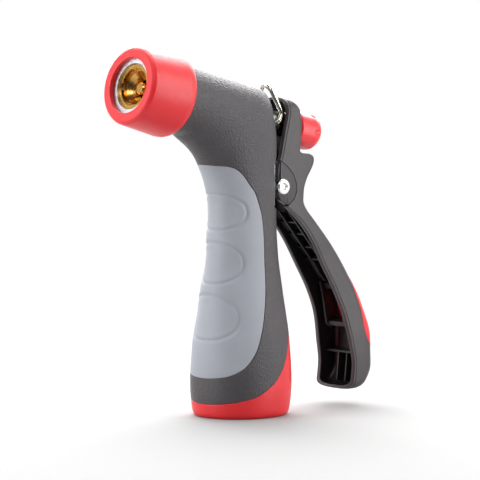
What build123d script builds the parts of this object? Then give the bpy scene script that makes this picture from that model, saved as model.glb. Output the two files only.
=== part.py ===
from build123d import *
import math
import os

# Pistol-grip garden hose nozzle with a rear trigger lever.
# Millimetres. +Z is up, -Y is the way the water leaves, X = 0 is the plane of symmetry.
# The origin is the centre of the hose inlet's mouth.

# --- driving dimensions -------------------------------------------------------------

# head axis: starts at the front opening and runs back and slightly down
HEAD_FRONT = (-59.7, 138.1)
HEAD_TILT = 12.2

# handle sections: height, front-to-back half depth, half width, centre in Y
HANDLE = (
    (0.0, 20.1, 18.6, 0.3),
    (3.0, 20.6, 19.0, 0.4),
    (14.0, 21.6, 19.6, 0.5),
    (30.0, 20.9, 18.6, 0.5),
    (52.0, 18.2, 15.0, 0.7),
    (67.0, 16.3, 12.8, 0.9),
    (82.0, 15.5, 12.2, 0.9),
)
ROUNDED_FOOT = ((0.0, 18.6, 17.2, 0.3), (0.8, 19.9, 18.4, 0.3))
SKIN = 2.6
PAD_DEPTH = 1.5

INLET_R = 13.5
INLET_DEPTH = 12.0
WASHER_T = 3.0
PASSAGE_R = 6.4

COLLAR_R = 13.3
COLLAR_START = 2.2
COLLAR_END = 31.0
COVER_R = 14.6
COVER_START = 23.4
NOSE_R = 9.5
CHAMBER_R = 8.2
CHAMBER_END = 68.0
SEAT_S = 14.0

BACK_FACE_Y = 10.4
OPENING_LOW = 86.0
OPENING_HIGH = 130.5
OPENING_HALF = 8.4
CHEEK_HALF = 10.3
CHEEK_TOP = 107.0

BOSS_R = 5.2
BOSS_END = 79.0
GLAND_R = 3.3
BOSS_FLAT = 4.65
NUT_ACROSS_FLATS = 10.0
NUT_END = 83.5

STEM_R = 2.5
STEM_END = 101.6
INSERT_END = 100.4
RUNNING_GAP = 0.06
KNOB_R = 7.7
KNOB_START = 90.0
KNOB_END = 105.0
FLUTE_START = 97.5
FLUTES = 6

PIVOT = (15.4, 95.1)
LUG_HALF = 4.0
RIVET_R = 2.0
RIVET_HEAD_R = 3.35
LEVER_WALL = 2.0
LEVER_BACK = 3.4
PAD_T = 1.5
FLANGE_LOW = 88.4

CLIP_WIRE_R = 1.05
CLIP_PIVOT_S = 77.5

# lever outline in Y, Z: front rim from the top down, then the back from the bottom up
LEVER_FRONT = (
    (18.1, 125.0), (13.8, 106.4), (12.3, 102.7), (12.3, 93.1), (13.2, 89.4), (18.1, 86.0),
    (19.1, 84.1), (26.3, 78.7), (32.3, 71.4), (38.4, 61.3), (45.6, 49.5), (50.6, 38.3),
    (53.3, 26.6), (54.7, 17.9), (54.2, 12.2), (52.9, 8.4),
)
LEVER_BACK_EDGE = (
    (55.2, 6.6), (58.0, 7.1), (63.2, 10.9), (66.6, 17.0), (67.2, 23.4), (65.8, 32.0),
    (63.2, 41.0), (60.0, 48.2), (55.8, 54.8), (47.5, 66.1), (35.6, 78.0), (29.6, 84.4),
    (27.6, 88.4), (27.6, 93.0), (29.7, 98.1), (34.0, 105.0), (33.4, 107.7), (31.4, 108.4),
    (25.9, 108.9), (26.6, 119.2), (26.4, 124.1), (24.8, 128.6), (23.0, 131.0),
    (20.6, 132.2), (19.0, 131.4),
)
LEVER_HALF = ((6.4, 4.0), (7.2, 7.8), (9.4, 10.2), (14.0, 11.6), (25.0, 11.5), (35.0, 10.6),
              (58.0, 9.3), (66.0, 9.3), (75.0, 9.8), (125.0, 9.8), (129.0, 8.0), (131.3, 5.0),
              (132.3, 1.5))
CHEEK_EDGE = (
    (13.3, 106.4), (18.0, 103.3), (21.6, 99.6), (23.4, 94.8), (22.3, 90.4), (18.1, 86.4),
    (13.2, 89.6), (12.3, 93.1), (12.3, 102.7),
)
LEVER_PAD_EDGE = (
    (53.7, 55.2), (57.2, 47.7), (59.6, 40.7), (60.8, 32.9), (62.6, 28.0), (65.6, 24.4),
    (72.0, 22.0), (72.0, 60.0), (56.0, 60.0),
)

# boundaries drawn on the side of the handle, in Y, Z
FINGER_PAD_EDGE = (
    (-22.0, 104.8), (-16.0, 104.4), (-12.7, 103.7), (-9.2, 101.6), (-5.0, 96.6), (-2.5, 93.6), (-0.9, 90.2),
    (1.4, 83.9), (2.4, 75.6), (2.3, 65.3), (1.7, 57.1), (0.5, 49.0), (-1.0, 42.9),
    (-2.9, 36.9), (-6.1, 28.9), (-8.9, 24.5), (-11.8, 21.3), (-15.3, 18.9), (-18.1, 17.6),
    (-21.5, 16.4),
)
BOOT_EDGE = (
    (-30.0, 5.6), (-20.6, 6.1), (-14.3, 7.3), (-7.2, 9.2), (-0.5, 12.8), (5.2, 17.5),
    (9.8, 23.0), (12.9, 28.6), (16.5, 33.8), (24.0, 40.0),
)

# --- helpers -------------------------------------------------------------------------

AXIS_Y = math.cos(math.radians(HEAD_TILT))
AXIS_Z = -math.sin(math.radians(HEAD_TILT))
HEAD_PLANE = Plane(origin=(0, *HEAD_FRONT), x_dir=(0, AXIS_Y, AXIS_Z), z_dir=(1, 0, 0))
HEAD_AXIS = Axis((0, *HEAD_FRONT), (0, AXIS_Y, AXIS_Z))


def on_head(s, n=0.0):
    """Y and Z of a point s behind the front opening and n above the head's axis."""
    return (HEAD_FRONT[0] + s * AXIS_Y - n * AXIS_Z, HEAD_FRONT[1] + s * AXIS_Z + n * AXIS_Y)


def turned(*profile):
    """A solid turned about the head's axis from (s, r) corners."""
    return revolve(HEAD_PLANE * make_face(Polyline(*profile, close=True)), HEAD_AXIS)


def head_rod(s0, s1, r):
    """A round rod on the head's axis."""
    return turned((s0, 0), (s1, 0), (s1, r), (s0, r))


def head_ring(s0, s1, inner, outer):
    """A plain ring on the head's axis."""
    return turned((s0, inner), (s1, inner), (s1, outer), (s0, outer))


def upright(z0, z1, r):
    """A round rod on the inlet's axis."""
    return Pos(0, 0, z0) * Cylinder(r, z1 - z0, align=(Align.CENTER, Align.CENTER, Align.MIN))


def crosswise(y, z, x0, x1, r):
    """A round rod that runs along X."""
    rod = Cylinder(r, x1 - x0, align=(Align.CENTER, Align.CENTER, Align.MIN))
    return Pos(x0, y, z) * Rot(0, 90, 0) * rod


def side_prism(points, x0, x1):
    """A side view in Y, Z drawn out from x0 to x1."""
    face = make_face(Polyline(*points, close=True))
    return extrude(Plane.YZ.offset(x0) * face, x1 - x0)


def both_sides(shape):
    """A shape and its mirror image across X = 0, as one."""
    return shape + mirror(shape, Plane.YZ)


def rear_window(half, low, high, y0, y1, corner):
    """A rounded upright block seen from the back, from y0 to y1."""
    middle = (low + high) / 2
    outline = RectangleRounded(2 * half, high - low, corner)
    face = Plane(origin=(0, y0, middle), x_dir=(-1, 0, 0), z_dir=(0, 1, 0)) * outline
    return extrude(face, y1 - y0)


def section(front, rear, half, inset, power=2.15, count=28):
    """A closed rounded section between a front and a rear point, shrunk by inset."""
    span = math.dist(front, rear)
    middle = ((front[0] + rear[0]) / 2, (front[1] + rear[1]) / 2)
    along = ((rear[0] - front[0]) / span, (rear[1] - front[1]) / span)
    depth = span / 2 - inset
    points = []
    for i in range(count):
        a = 2 * math.pi * i / count
        c = math.copysign(abs(math.cos(a)) ** (2 / power), math.cos(a))
        s = math.copysign(abs(math.sin(a)) ** (2 / power), math.sin(a))
        y = middle[0] + along[0] * depth * c
        z = middle[1] + along[1] * depth * c
        points.append((half * s - math.copysign(inset * abs(s), s), y, z))
    return Wire(Spline(*points, periodic=True))


def body_shape(inset=0.0, rounded=False):
    """The whole grip and head as one smooth shape, shrunk by inset."""
    rows = HANDLE
    if rounded:
        rows = ROUNDED_FOOT + HANDLE[1:]
    wires = [section((c - a, z), (c + a, z), b, inset) for z, a, b, c in rows]
    fan = (
        ((-14.9, 91.0), (16.5, 91.0), 12.3, 2.15),
        ((-16.6, 97.4), (16.8, 103.0), 12.5, 2.15),
        ((-19.2, 102.9), (16.8, 115.0), 12.9, 2.15),
        ((-22.0, 107.4), (15.2, 126.0), 13.3, 2.12),
        ((-25.9, 111.4), (10.6, 134.9), 13.7, 2.1),
        (on_head(32.2, -16.0), on_head(58, 13.1), 14.0, 2.07),
        (on_head(30.2, -15.0), on_head(43, 13.6), 14.3, 2.04),
        (on_head(29.0, -14.7), on_head(34, 14.1), 14.5, 2.02),
        (on_head(COVER_START, -COVER_R), on_head(COVER_START, COVER_R), COVER_R, 2.0),
    )
    wires += [section(front, rear, b, inset, p) for front, rear, b, p in fan]
    return Solid.make_loft(wires)


# --- fixed parts ---------------------------------------------------------------------

OUTER = body_shape(0.0, rounded=True)
CORE = body_shape(SKIN)
PAD_FLOOR = body_shape(PAD_DEPTH)


def back_plate():
    """The bare cast face behind the head, where the lever and the valve rod come out."""
    upper = rear_window(OPENING_HALF + 0.7, OPENING_LOW, OPENING_HIGH + 0.7, 4.0, BACK_FACE_Y, 6.0)
    lower = rear_window(CHEEK_HALF, OPENING_LOW, CHEEK_TOP, 4.0, BACK_FACE_Y, 3.0)
    return (upper + lower) & OUTER


def back_clearance():
    """Everything behind the cast face that the lever needs."""
    upper = rear_window(OPENING_HALF, OPENING_LOW, OPENING_HIGH, BACK_FACE_Y, 30.0, 6.0)
    lower = rear_window(CHEEK_HALF + 3, OPENING_LOW, CHEEK_TOP, BACK_FACE_Y, 30.0, 3.0)
    return upper + lower


def pivot_lug():
    """The central lug the lever turns on, gusseted into the cast face."""
    y, z = PIVOT
    web = side_prism(((5, z - 10.5), (5, z + 12.5), (y, z + 4.4), (y, z - 4.4)), -LUG_HALF, LUG_HALF)
    return web + crosswise(y, z, -LUG_HALF, LUG_HALF, 4.6)


def water_way():
    """The passage up the grip and the valve chamber along the head."""
    inlet = upright(-1, INLET_DEPTH, INLET_R) + upright(INLET_DEPTH, INLET_DEPTH + WASHER_T, INLET_R + 0.4)
    rise = upright(INLET_DEPTH, on_head(61)[1], PASSAGE_R)
    chamber = turned((SEAT_S, 0), (CHAMBER_END, 0), (CHAMBER_END, 6.0), (CHAMBER_END - 2.2, CHAMBER_R),
                     (SEAT_S, CHAMBER_R))
    nose = head_rod(0, SEAT_S + 0.01, NOSE_R)
    return inlet + rise + chamber + nose


def body_casting():
    shape = CORE + head_rod(COLLAR_START, COLLAR_END, COLLAR_R) + back_plate()
    shape -= back_clearance()
    shape += head_rod(CHAMBER_END - 3, BOSS_END, BOSS_R)
    shape += pivot_lug()
    shape -= water_way()
    shape -= head_rod(60, BOSS_END + 1, STEM_R + RUNNING_GAP)
    shape -= head_rod(70.5, BOSS_END + 1, GLAND_R)
    shape -= crosswise(*PIVOT, -10, 10, RIVET_R + 0.07)
    shape -= both_sides(crosswise(*on_head(CLIP_PIVOT_S), GLAND_R + 0.3, 12, CLIP_WIRE_R + 0.08))
    shape -= both_sides(HEAD_PLANE * Pos(BOSS_END - 1.5, 0, BOSS_FLAT + 2) * Box(5, 14, 4))
    return shape


def skin():
    """The whole moulded layer over the casting, before it is split by colour."""
    shape = OUTER - CORE - back_plate() - back_clearance()
    shape -= head_rod(0, COLLAR_END, COLLAR_R)
    return shape - upright(-1, 5, INLET_R)


def boot_region():
    return side_prism(BOOT_EDGE + ((24, -5), (-30, -5)), -30, 30)


def finger_pad_region():
    return side_prism(FINGER_PAD_EDGE + ((-32, 16.4), (-32, 104.8)), -30, 30)


def base_boot():
    return skin() & boot_region()


def finger_pad():
    return (OUTER - PAD_FLOOR) & (finger_pad_region() - boot_region())


def grip_cover():
    return skin() - boot_region() - finger_pad()


def front_bumper():
    return turned(
        (0, 11.6), (0, 14.8), (0.5, 15.6), (1.6, 16.1), (6, 16.45), (14, 17.0), (19.5, 17.4),
        (21.3, 17.2), (22.5, 16.4), (23.1, 15.3), (23.3, COVER_R), (23.3, COLLAR_R),
        (COLLAR_START, COLLAR_R), (COLLAR_START, 11.35), (0.3, 11.35),
    )


def orifice_insert():
    body = turned(
        (3.2, 7.75), (3.2, 9.1), (3.5, NOSE_R), (SEAT_S, NOSE_R), (SEAT_S, 5.4), (12.2, 4.4),
        (11, 4.0), (9.4, 4.0), (7.2, 5.4), (5.4, 6.9), (5.4, 7.75),
    )
    notch = HEAD_PLANE * Pos(3.2, 0, 8.6) * Box(3.0, 2.6, 2.4)
    groove = head_ring(10.4, 12.0, 8.3, NOSE_R + 1)
    return body - both_sides(notch) - groove


def insert_seal():
    ring = HEAD_PLANE * Pos(11.2, 8.9) * Circle(0.6)
    return revolve(ring, HEAD_AXIS)


def packing_seal():
    return head_ring(70.5, 73.4, STEM_R + RUNNING_GAP, GLAND_R)


def gland_washer():
    return head_ring(73.4, 74.4, STEM_R + RUNNING_GAP, GLAND_R)


def packing_nut():
    across_corners = NUT_ACROSS_FLATS / math.sqrt(3)
    hexagon = RegularPolygon(across_corners, 6)
    base = Plane(origin=(0, *on_head(BOSS_END)), x_dir=(1, 0, 0), z_dir=(0, AXIS_Y, AXIS_Z))
    head = extrude(base * hexagon, NUT_END - BOSS_END)
    head &= turned((BOSS_END, 0), (NUT_END, 0), (NUT_END, 4.9), (NUT_END - 0.6, 6), (BOSS_END, 6))
    shank = head_rod(74.4, BOSS_END, GLAND_R)
    return head + shank - head_rod(70, 90, STEM_R + RUNNING_GAP)


def hose_washer():
    return upright(INLET_DEPTH, INLET_DEPTH + WASHER_T, INLET_R + 0.3) - upright(0, 20, 8.0)


def inlet_screen():
    """Coarse strainer disc that rests on the hose washer."""
    disc = upright(INLET_DEPTH + 0.9, INLET_DEPTH + 1.7, 7.9)
    for row, count in ((2.6, 6), (5.4, 12)):
        for i in range(count):
            a = 2 * math.pi * i / count
            disc -= Pos(row * math.cos(a), row * math.sin(a), 0) * upright(0, 20, 0.85)
    return disc


# --- valve ---------------------------------------------------------------------------

def valve_stem():
    return turned(
        (6.2, 0), (6.2, 1.9), (6.7, 2.4), (10.6, 2.4), (12.4, 3.2), (12.9, 3.7), (14.2, 3.7),
        (14.3, 3.2), (17.3, 3.2), (17.3, 4.9), (19.3, 4.9), (19.3, STEM_R), (STEM_END, STEM_R),
        (STEM_END, 0),
    )


def valve_washer():
    return turned((14.3, 3.2), (14.3, 6.1), (14.7, 6.4), (17.3, 6.4), (17.3, 3.2))


def stem_seal():
    """The ring that turns and slides with the rod inside the gland."""
    ring = HEAD_PLANE * Pos(22.0, STEM_R + 0.6) * Circle(0.6)
    return revolve(ring, HEAD_AXIS)


def return_spring():
    start, end, radius, wire, turns = 23.6, 66.6, 4.3, 0.5, 11
    path = Helix(pitch=(end - start) / turns, height=end - start, radius=radius)
    place = Plane(origin=(0, *on_head(start)), x_dir=(1, 0, 0), z_dir=(0, AXIS_Y, AXIS_Z))
    mouth = Plane(origin=path @ 0, z_dir=path % 0) * Circle(wire)
    return place * sweep(mouth, path=path, is_frenet=True)


# --- adjusting knob ------------------------------------------------------------------

def adjusting_knob():
    shape = turned(
        (KNOB_START, 0), (KNOB_START, 7.2), (KNOB_START + 0.6, KNOB_R), (98.8, KNOB_R),
        (100.7, 7.3), (101.8, 6.5), (103.1, 4.9), (104.3, 2.9), (KNOB_END, 1.2), (KNOB_END, 0),
    )
    shape -= head_rod(KNOB_START - 1, 92.0, STEM_R + 0.4)
    shape -= head_rod(92.0, INSERT_END, 4.6)
    shape -= head_rod(INSERT_END, STEM_END + 0.6, STEM_R + 0.4)
    for i in range(FLUTES):
        flute = HEAD_PLANE * Pos(FLUTE_START + 6, KNOB_R + 0.4, 0) * Rot(0, 90, 0) * Cylinder(1.1, 12)
        shape -= flute.rotate(HEAD_AXIS, 360 * (i + 0.5) / FLUTES)
    return shape


def knob_insert():
    return head_ring(92.0, INSERT_END, STEM_R + RUNNING_GAP, 4.6)


# --- trigger -------------------------------------------------------------------------

def inset_outline(points, distance):
    """Corners of a closed clockwise or anticlockwise outline moved inward by distance."""
    count = len(points)
    area = sum(points[i][0] * points[(i + 1) % count][1] - points[(i + 1) % count][0] * points[i][1]
               for i in range(count))
    turn = math.copysign(1, area)
    moved = []
    for i in range(count):
        a, b, c = points[i - 1], points[i], points[(i + 1) % count]
        d1 = math.dist(a, b)
        d2 = math.dist(b, c)
        n1 = (-(b[1] - a[1]) / d1 * turn, (b[0] - a[0]) / d1 * turn)
        n2 = (-(c[1] - b[1]) / d2 * turn, (c[0] - b[0]) / d2 * turn)
        scale = distance / max(0.5, 1 + n1[0] * n2[0] + n1[1] * n2[1])
        moved.append((b[0] + (n1[0] + n2[0]) * scale, b[1] + (n1[1] + n2[1]) * scale))
    return moved


def lever_front_view(inset):
    """The lever's outline seen from the front, drawn out along Y."""
    right = [(half, z) for z, half in LEVER_HALF]
    left = [(-half, z) for z, half in reversed(LEVER_HALF)]
    outline = right + left
    if inset:
        outline = inset_outline(outline, inset)
    face = make_face(Polyline(*outline, close=True))
    return extrude(Plane(origin=(0, 0, 0), x_dir=(1, 0, 0), z_dir=(0, -1, 0)) * face, -90)


def lever_block(inset, sides=None):
    """The lever as a full block, shrunk by inset at the back and by sides across."""
    outline = LEVER_FRONT + LEVER_BACK_EDGE
    if inset:
        outline = inset_outline(outline, inset)
    return side_prism(outline, -20, 20) & lever_front_view(inset if sides is None else sides)


def lever_hollow():
    """The space inside the lever, open to the front."""
    upper_rim = [(y - 6, z) for y, z in LEVER_FRONT]
    shallow = inset_outline(LEVER_FRONT + LEVER_BACK_EDGE, LEVER_WALL)[len(LEVER_FRONT):]
    deep = inset_outline(LEVER_FRONT + LEVER_BACK_EDGE, LEVER_BACK)[len(LEVER_FRONT):]
    back = deep[:10] + shallow[10:-1]
    return side_prism(upper_rim + list(back), -20, 20) & lever_front_view(LEVER_WALL)


def lever_ribs():
    """Two long ribs down the inside with short cross ribs between them."""
    long_rib = side_prism(((27.5, 84.0), (33.5, 78.0), (45.5, 63.5), (53.8, 51.0), (52.0, 49.6),
                           (43.5, 60.5), (31.5, 74.8), (25.5, 80.8)), 2.7, 3.9)
    ribs = both_sides(long_rib)
    for y, z in ((29.6, 79.0), (37.6, 70.0), (45.4, 60.0), (52.0, 50.6)):
        ribs += Pos(0, y, z) * Rot(50, 0, 0) * Box(17.6, 5.0, 1.2)
    foot = side_prism(((63.0, 27.0), (63.0, 10.0), (58.6, 9.0), (57.4, 14.0), (58.6, 26.0)), 3.1, 4.3)
    ribs += both_sides(foot) + Pos(0, 61.0, 18.4) * Box(20.0, 5.0, 1.2)
    return ribs & lever_block(0.6)


def lever_window():
    """The framed window through the back wall under the palm pad."""
    return Pos(0, 60.0, 40.0) * Rot(20, 0, 0) * Box(9.0, 30.0, 10.0)


def lever_pad():
    wrap = side_prism(LEVER_PAD_EDGE, -20, 20)
    return (lever_block(0) - lever_block(PAD_T)) & wrap


def rod_slot():
    """The slot in the back wall that the valve rod works through."""
    low, high, half = 116.3, 126.2, 3.1
    return rear_window(half, low, high, 20, 32, half - 0.05)


def cheek_region(gap=0.0):
    outline = inset_outline(CHEEK_EDGE, -gap) if gap else CHEEK_EDGE
    return side_prism(outline, -20, 20)


def trigger_lever():
    shape = lever_block(0) - lever_hollow()
    shape += lever_ribs()
    shape -= cheek_region(0.12)
    shape -= rod_slot()
    shape -= lever_pad()
    return shape - lever_window()


def pivot_cheek(side):
    y, z = PIVOT
    plate = cheek_region() & lever_block(0) & Pos(8.8, 20, 100) * Box(2.0, 60, 60)
    flange = cheek_region(1.4) & lever_hollow() & Pos(7.1, 33, FLANGE_LOW + 30) * Box(1.4, 40, 60)
    hub = crosswise(y, z, LUG_HALF + 0.3, 9.0, 4.0)
    slot = Pos(9, y - 4.6, z + 0.3) * Box(12, 3.4, 3.6)
    shape = plate + flange + hub - slot - crosswise(y, z, 0, 20, RIVET_R)
    return shape if side > 0 else mirror(shape, Plane.YZ)


def pivot_rivet():
    y, z = PIVOT
    shank = crosswise(y, z, -9.8, 9.8, RIVET_R)
    head = crosswise(y, z, 9.8, 10.8, RIVET_HEAD_R)
    head = chamfer(head.edges().group_by(Axis.X)[-1], 0.35)
    return shank + both_sides(head) - crosswise(y, z, -20, 20, 1.2)


# --- hold-open clip ------------------------------------------------------------------

def hold_open_clip():
    y, z = on_head(CLIP_PIVOT_S)
    half = ((GLAND_R + 0.45, y, z), (6.0, y, z), (6.0, 18.1, 125.4), (3.3, 14.4, 135.4), (1.7, 13.8, 136.9))
    mirrored = tuple((-px, py, pz) for px, py, pz in reversed(half))
    path = FilletPolyline(*half, (0, 13.7, 137.4), *mirrored, radius=1.2)
    return sweep(Plane(origin=path @ 0, z_dir=path % 0) * Circle(CLIP_WIRE_R), path=path,
                 transition=Transition.ROUND)


def build_all():
    return {
        "body_casting": body_casting(),
        "grip_cover": grip_cover(),
        "finger_pad": finger_pad(),
        "base_boot": base_boot(),
        "front_bumper": front_bumper(),
        "orifice_insert": orifice_insert(),
        "insert_seal": insert_seal(),
        "packing_seal": packing_seal(),
        "gland_washer": gland_washer(),
        "packing_nut": packing_nut(),
        "hose_washer": hose_washer(),
        "inlet_screen": inlet_screen(),
        "valve_stem": valve_stem(),
        "valve_washer": valve_washer(),
        "stem_seal": stem_seal(),
        "return_spring": return_spring(),
        "adjusting_knob": adjusting_knob(),
        "knob_insert": knob_insert(),
        "trigger_lever": trigger_lever(),
        "pivot_cheek_left": pivot_cheek(-1),
        "pivot_cheek_right": pivot_cheek(1),
        "pivot_rivet": pivot_rivet(),
        "lever_pad": lever_pad(),
        "hold_open_clip": hold_open_clip(),
    }


os.makedirs("parts", exist_ok=True)
for name, shape in build_all().items():
    export_step(shape, f"parts/{name}.step")
    print(name, len(shape.solids()), round(shape.volume))
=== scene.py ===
import math

import bmesh
import bpy
import numpy as np
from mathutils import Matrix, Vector
from mathutils.geometry import delaunay_2d_cdt


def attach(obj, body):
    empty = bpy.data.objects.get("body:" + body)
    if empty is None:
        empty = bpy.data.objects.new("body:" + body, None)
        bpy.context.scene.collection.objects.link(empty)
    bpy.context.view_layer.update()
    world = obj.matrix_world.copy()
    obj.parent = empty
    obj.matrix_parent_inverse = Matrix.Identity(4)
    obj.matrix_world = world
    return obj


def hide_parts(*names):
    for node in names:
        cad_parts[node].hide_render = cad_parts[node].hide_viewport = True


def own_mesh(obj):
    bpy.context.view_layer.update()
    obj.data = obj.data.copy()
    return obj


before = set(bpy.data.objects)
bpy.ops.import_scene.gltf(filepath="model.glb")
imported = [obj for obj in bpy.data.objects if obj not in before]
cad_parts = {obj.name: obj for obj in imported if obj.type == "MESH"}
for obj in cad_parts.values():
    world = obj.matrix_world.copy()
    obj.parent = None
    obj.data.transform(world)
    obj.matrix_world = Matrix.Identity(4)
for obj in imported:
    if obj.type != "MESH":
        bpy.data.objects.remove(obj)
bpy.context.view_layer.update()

MM = 0.001

# --- shared placing: millimetres, the head's axis, and the body's stations ----------------------

TILT = math.radians(12.2)
HEAD_START = np.array((0.0, -59.7, 138.1))
HEAD_DIR = np.array((0.0, math.cos(TILT), -math.sin(TILT)))
HEAD_UP = np.array((0.0, math.sin(TILT), math.cos(TILT)))
SIDE = np.array((1.0, 0.0, 0.0))


def on_head(s, n):
    """Y and Z of a point s behind the front opening and n above the head's axis."""
    p = HEAD_START + s * HEAD_DIR + n * HEAD_UP
    return (p[1], p[2])


def upright_station(z, depth, half, middle, power=2.15):
    return ((middle - depth, z), (middle + depth, z), half, power)


BODY_STATIONS = (
    upright_station(0.0, 18.6, 17.2, 0.3),
    upright_station(0.25, 19.3, 17.85, 0.3),
    upright_station(0.9, 19.95, 18.45, 0.3),
    upright_station(3.0, 20.6, 19.0, 0.4),
    upright_station(14.0, 21.6, 19.6, 0.5),
    upright_station(30.0, 20.9, 18.6, 0.5),
    upright_station(52.0, 18.2, 15.0, 0.7),
    upright_station(67.0, 16.3, 12.8, 0.9),
    upright_station(82.0, 15.5, 12.2, 0.9),
    ((-14.9, 91.0), (16.5, 91.0), 12.3, 2.15),
    ((-16.6, 97.4), (16.8, 103.0), 12.5, 2.15),
    ((-19.2, 102.9), (16.8, 115.0), 12.9, 2.15),
    ((-22.0, 107.4), (15.2, 126.0), 13.3, 2.12),
    ((-25.9, 111.4), (10.6, 134.9), 13.7, 2.1),
    (on_head(32.2, -16.0), on_head(58, 13.1), 14.0, 2.07),
    (on_head(30.2, -15.0), on_head(43, 13.6), 14.3, 2.04),
    (on_head(29.0, -14.7), on_head(34, 14.1), 14.5, 2.02),
    (on_head(23.4, -14.6), on_head(23.4, 14.6), 14.6, 2.0),
)


# --- numbers: smooth interpolation and curves ---------------------------------------------------

class Smooth:
    """Shape-keeping cubic through rows of values."""

    def __init__(self, x, y):
        self.x = np.asarray(x, float)
        self.y = np.asarray(y, float)
        if self.y.ndim == 1:
            self.y = self.y[:, None]
        step = np.diff(self.x)[:, None]
        rise = np.diff(self.y, axis=0) / step
        w1 = 2 * step[1:] + step[:-1]
        w2 = step[1:] + 2 * step[:-1]
        same = rise[:-1] * rise[1:] > 0
        safe1 = np.where(same, rise[:-1], 1.0)
        safe2 = np.where(same, rise[1:], 1.0)
        slope = np.zeros_like(self.y)
        slope[1:-1] = np.where(same, (w1 + w2) / (w1 / safe1 + w2 / safe2), 0.0)
        slope[0] = rise[0]
        slope[-1] = rise[-1]
        self.slope = slope

    def __call__(self, at):
        at = np.clip(np.asarray(at, float), self.x[0], self.x[-1])
        i = np.clip(np.searchsorted(self.x, at, side="right") - 1, 0, len(self.x) - 2)
        width = (self.x[i + 1] - self.x[i])[:, None]
        k = (at - self.x[i])[:, None] / width
        a = (1 + 2 * k) * (1 - k) ** 2
        b = k * (1 - k) ** 2
        c = k * k * (3 - 2 * k)
        d = k * k * (k - 1)
        return (a * self.y[i] + b * width * self.slope[i] + c * self.y[i + 1]
                + d * width * self.slope[i + 1])


def curve_through(points, per=24, closed=False, ends=None):
    """A dense smooth curve through points; ends are ghost points beyond the first and last."""
    pts = [np.asarray(p, float) for p in points]
    n = len(pts)
    if closed:
        ring = [pts[-1]] + pts + [pts[0], pts[1]]
    else:
        first = ends[0] if ends else 2 * pts[0] - pts[1]
        last = ends[1] if ends else 2 * pts[-1] - pts[-2]
        ring = [np.asarray(first, float)] + pts + [np.asarray(last, float)]
    out = []
    for i in range(n if closed else n - 1):
        p0, p1, p2, p3 = ring[i:i + 4]
        t1 = math.sqrt(max(1e-9, np.linalg.norm(p1 - p0)))
        t2 = t1 + math.sqrt(max(1e-9, np.linalg.norm(p2 - p1)))
        t3 = t2 + math.sqrt(max(1e-9, np.linalg.norm(p3 - p2)))
        for k in range(per):
            t = t1 + (t2 - t1) * k / per
            a1 = (t1 - t) / t1 * p0 + t / t1 * p1
            a2 = (t2 - t) / (t2 - t1) * p1 + (t - t1) / (t2 - t1) * p2
            a3 = (t3 - t) / (t3 - t2) * p2 + (t - t2) / (t3 - t2) * p3
            b1 = (t2 - t) / t2 * a1 + t / t2 * a2
            b2 = (t3 - t) / (t3 - t1) * a2 + (t - t1) / (t3 - t1) * a3
            out.append((t2 - t) / (t2 - t1) * b1 + (t - t1) / (t2 - t1) * b2)
    if not closed:
        out.append(pts[-1])
    return np.array(out)


def even(points, step, closed=False, measure=None):
    """The same curve with points a step apart, measured on measure(points)."""
    pts = np.vstack([points, points[:1]]) if closed else points
    real = measure(pts) if measure else pts
    length = np.r_[0, np.cumsum(np.linalg.norm(np.diff(real, axis=0), axis=1))]
    count = max(2, int(round(length[-1] / step)))
    at = np.linspace(0, length[-1], count + 1)
    if closed:
        at = at[:-1]
    return np.stack([np.interp(at, length, pts[:, k]) for k in range(pts.shape[1])], axis=1)


def rounded(points, radius, closed=True, steps=4):
    """A path of corners with each corner turned into a small arc; radius is one or a list."""
    n = len(points)
    out = []
    for i in range(n):
        r = radius[i] if isinstance(radius, (list, tuple)) else radius
        p = np.asarray(points[i], float)
        if r <= 0 or (not closed and i in (0, n - 1)):
            out.append(p)
            continue
        a = np.asarray(points[i - 1], float) - p
        b = np.asarray(points[(i + 1) % n], float) - p
        la, lb = np.linalg.norm(a), np.linalg.norm(b)
        a, b = a / la, b / lb
        half = math.acos(np.clip(np.dot(a, b), -1, 1)) / 2
        if half > 1.55:
            out.append(p)
            continue
        cut = min(r / math.tan(half), 0.48 * la, 0.48 * lb)
        real = cut * math.tan(half)
        middle = (a + b) / np.linalg.norm(a + b)
        centre = p + middle * real / math.sin(half)
        start, end = p + a * cut - centre, p + b * cut - centre
        sweep = math.pi - 2 * half
        for k in range(steps + 1):
            w = sweep * k / steps
            out.append(centre + (math.sin(sweep - w) * start + math.sin(w) * end) / math.sin(sweep))
    return np.array(out)


# --- meshes ------------------------------------------------------------------------------------

def add_mesh(name, verts, faces, material, body, replaces=(), sharp=None):
    """A new piece from points in millimetres."""
    mesh = bpy.data.meshes.new(name)
    mesh.from_pydata((np.asarray(verts, float) * MM).tolist(), [], [list(map(int, f)) for f in faces])
    work = bmesh.new()
    work.from_mesh(mesh)
    bmesh.ops.remove_doubles(work, verts=work.verts, dist=2e-6)
    bmesh.ops.dissolve_degenerate(work, dist=1e-6, edges=work.edges)
    bmesh.ops.recalc_face_normals(work, faces=work.faces)
    work.to_mesh(mesh)
    work.free()
    piece = bpy.data.objects.new(name, mesh)
    bpy.context.scene.collection.objects.link(piece)
    finish_piece(piece, material, body, replaces, sharp)
    return piece


def finish_piece(piece, material, body, replaces=(), sharp=None):
    mesh = piece.data
    mesh.materials.clear()
    mesh.materials.append(material)
    mesh.polygons.foreach_set("use_smooth", [True] * len(mesh.polygons))
    if sharp:
        mesh.set_sharp_from_angle(angle=math.radians(sharp))
    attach(piece, body)
    if replaces:
        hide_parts(*replaces)


def grid_faces(rows, columns, wrap_rows=False, wrap_columns=False, first=0):
    faces = []
    for i in range(rows if wrap_rows else rows - 1):
        for j in range(columns if wrap_columns else columns - 1):
            i2, j2 = (i + 1) % rows, (j + 1) % columns
            faces.append((first + i * columns + j, first + i * columns + j2,
                          first + i2 * columns + j2, first + i2 * columns + j))
    return faces


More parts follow.
